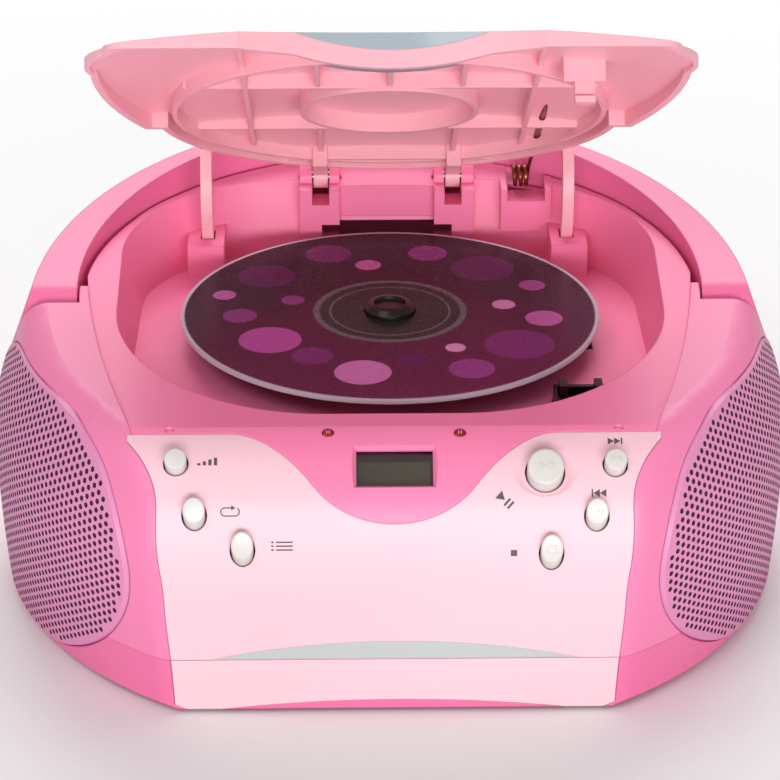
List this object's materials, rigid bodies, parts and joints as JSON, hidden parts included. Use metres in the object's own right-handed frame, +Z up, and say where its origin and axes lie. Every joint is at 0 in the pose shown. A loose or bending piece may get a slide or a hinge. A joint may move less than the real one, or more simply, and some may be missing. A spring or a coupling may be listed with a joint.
{
  "type": "portable cd radio",
  "caption": "Barrel-shaped portable disc player and radio with a lifting disc lid, folding carrying handle, side speakers, front keys and telescopic antenna.",
  "frame": {"origin": "on the table under the middle of the whole object", "axes": "X to the object's right as the front is faced, Y from front to rear, Z up"},
  "size_m": [0.2282, 0.2128, 0.1751],
  "materials": {
    "deck_pink": "satin",
    "pod_pink": "satin",
    "panel_pale": "satin",
    "chin_pale": "satin",
    "lid_pink": "satin",
    "handle_pink": "gloss",
    "grey_trim": "satin",
    "lens_grey": "gloss",
    "key_white": "satin",
    "black_plastic": "satin",
    "lcd": "matte",
    "clear_window": "gloss",
    "led_red": "gloss",
    "grille_cloth": "perforated",
    "steel": "brushed",
    "copper_wire": "satin",
    "board_green": "matte",
    "paper_cone": "matte",
    "disc_print": "gloss",
    "core_dark": "matte",
    "rubber_foot": "matte",
    "chrome": "polished",
    "inner_white": "matte"
  },
  "bodies": {
    "case": {"top_case": "deck_pink", "right_speaker_shell": "pod_pink", "left_speaker_shell": "pod_pink", "right_grille": "grille_cloth", "left_grille": "grille_cloth", "bottom_case": "handle_pink", "rear_case": "handle_pink", "rear_panel": "panel_pale", "front_panel": "panel_pale", "lower_front_panel": "chin_pale", "front_trim": "grey_trim", "display_window": "clear_window", "display_module": "lcd", "indicator_leds": "led_red", "handle_pivots": "steel", "right_speaker": "core_dark", "left_speaker": "core_dark", "right_speaker_cone": "paper_cone", "left_speaker_cone": "paper_cone", "mechanism_plate": "steel", "pickup_rails": "chrome", "spindle_motor": "steel", "latch_housing": "black_plastic", "key_board": "board_green", "hinge_pins": "steel", "battery_box": "inner_white", "battery_contacts": "steel", "main_board": "board_green", "transformer": "core_dark", "feet": "rubber_foot", "case_screws": "steel", "headphone_jack": "chrome", "mains_inlet": "black_plastic"},
    "lid_body": {"lid": "lid_pink", "lid_trim": "lens_grey", "lid_spring": "copper_wire"},
    "handle_body": {"handle": "handle_pink"},
    "spindle_body": {"turntable": "black_plastic", "spindle_hub": "black_plastic", "disc": "disc_print"},
    "sled_body": {"pickup_sled": "black_plastic"},
    "latch_body": {"latch_claws": "black_plastic"},
    "battery_door_body": {"battery_door": "handle_pink"},
    "volume_body": {"volume_wheel": "key_white"},
    "tuning_body": {"tuning_wheel": "key_white"},
    "band_body": {"band_switch_knob": "key_white"},
    "mast_1": {"antenna_root": "chrome"},
    "mast_2": {"antenna_section_2": "chrome"},
    "mast_3": {"antenna_section_3": "chrome"},
    "mast_4": {"antenna_tip": "chrome"},
    "bass_key_body": {"bass_key": "key_white"},
    "repeat_key_body": {"repeat_key": "key_white"},
    "program_key_body": {"program_key": "key_white"},
    "play_key_body": {"play_key": "key_white"},
    "next_key_body": {"next_key": "key_white"},
    "back_key_body": {"back_key": "key_white"},
    "stop_key_body": {"stop_key": "key_white"}
  },
  "joints": [
    {"name": "lid_hinge", "type": "hinge", "parent": "case", "child": "lid_body", "pos_m": [0, 0.0645, 0.089], "axis": [1, 0, 0], "range_deg": [0, 38.2], "stiffness_Nm_per_rad": 0.05, "springref_deg": -85.94},
    {"name": "handle_pivot", "type": "hinge", "parent": "case", "child": "handle_body", "pos_m": [0, -0.0075, 0.0755], "axis": [1, 0, 0], "range_deg": [0, 40]},
    {"name": "disc_spin", "type": "hinge", "parent": "case", "child": "spindle_body", "pos_m": [0, -0.0075, 0.0738], "axis": [0, 0, 1], "continuous": true},
    {"name": "pickup_slide", "type": "slide", "parent": "case", "child": "sled_body", "axis": [1, 0, 0], "range_m": [-0.006, 0.016]},
    {"name": "latch_push", "type": "slide", "parent": "case", "child": "latch_body", "axis": [0, 0, -1], "range_m": [0, 0.0035], "stiffness_N_per_m": 400, "springref_m": -0.002},
    {"name": "bass_press", "type": "slide", "parent": "case", "child": "bass_key_body", "axis": [0, 0.6157, -0.788], "range_m": [0, 0.001], "stiffness_N_per_m": 400, "springref_m": -0.002},
    {"name": "repeat_press", "type": "slide", "parent": "case", "child": "repeat_key_body", "axis": [0, 0.6157, -0.788], "range_m": [0, 0.001], "stiffness_N_per_m": 400, "springref_m": -0.002},
    {"name": "program_press", "type": "slide", "parent": "case", "child": "program_key_body", "axis": [0, 0.6157, -0.788], "range_m": [0, 0.001], "stiffness_N_per_m": 400, "springref_m": -0.002},
    {"name": "play_press", "type": "slide", "parent": "case", "child": "play_key_body", "axis": [0, 0.6157, -0.788], "range_m": [0, 0.001], "stiffness_N_per_m": 400, "springref_m": -0.002},
    {"name": "next_press", "type": "slide", "parent": "case", "child": "next_key_body", "axis": [0, 0.6157, -0.788], "range_m": [0, 0.001], "stiffness_N_per_m": 400, "springref_m": -0.002},
    {"name": "back_press", "type": "slide", "parent": "case", "child": "back_key_body", "axis": [0, 0.6157, -0.788], "range_m": [0, 0.001], "stiffness_N_per_m": 400, "springref_m": -0.002},
    {"name": "stop_press", "type": "slide", "parent": "case", "child": "stop_key_body", "axis": [0, 0.6157, -0.788], "range_m": [0, 0.001], "stiffness_N_per_m": 400, "springref_m": -0.002},
    {"name": "battery_door_slide", "type": "slide", "parent": "case", "child": "battery_door_body", "axis": [0, 1, 0], "range_m": [0, 0.015]},
    {"name": "volume_turn", "type": "hinge", "parent": "case", "child": "volume_body", "pos_m": [-0.034, 0.08, 0.0376], "axis": [0, 0, 1], "range_deg": [-150, 150]},
    {"name": "tuning_turn", "type": "hinge", "parent": "case", "child": "tuning_body", "pos_m": [0.034, 0.08, 0.0376], "axis": [0, 0, 1], "range_deg": [-150, 150]},
    {"name": "band_slide", "type": "slide", "parent": "case", "child": "band_body", "axis": [1, 0, 0], "range_m": [-0.004, 0.004]},
    {"name": "antenna_swivel", "type": "hinge", "parent": "case", "child": "mast_1", "pos_m": [0.038, 0.1038, 0.068], "axis": [0, 1, 0], "range_deg": [0, 180]},
    {"name": "antenna_pull_2", "type": "slide", "parent": "mast_1", "child": "mast_2", "axis": [-1, 0, 0], "range_m": [0, 0.07]},
    {"name": "antenna_pull_3", "type": "slide", "parent": "mast_2", "child": "mast_3", "axis": [-1, 0, 0], "range_m": [0, 0.07]},
    {"name": "antenna_pull_4", "type": "slide", "parent": "mast_3", "child": "mast_4", "axis": [-1, 0, 0], "range_m": [0, 0.07]}
  ]
}
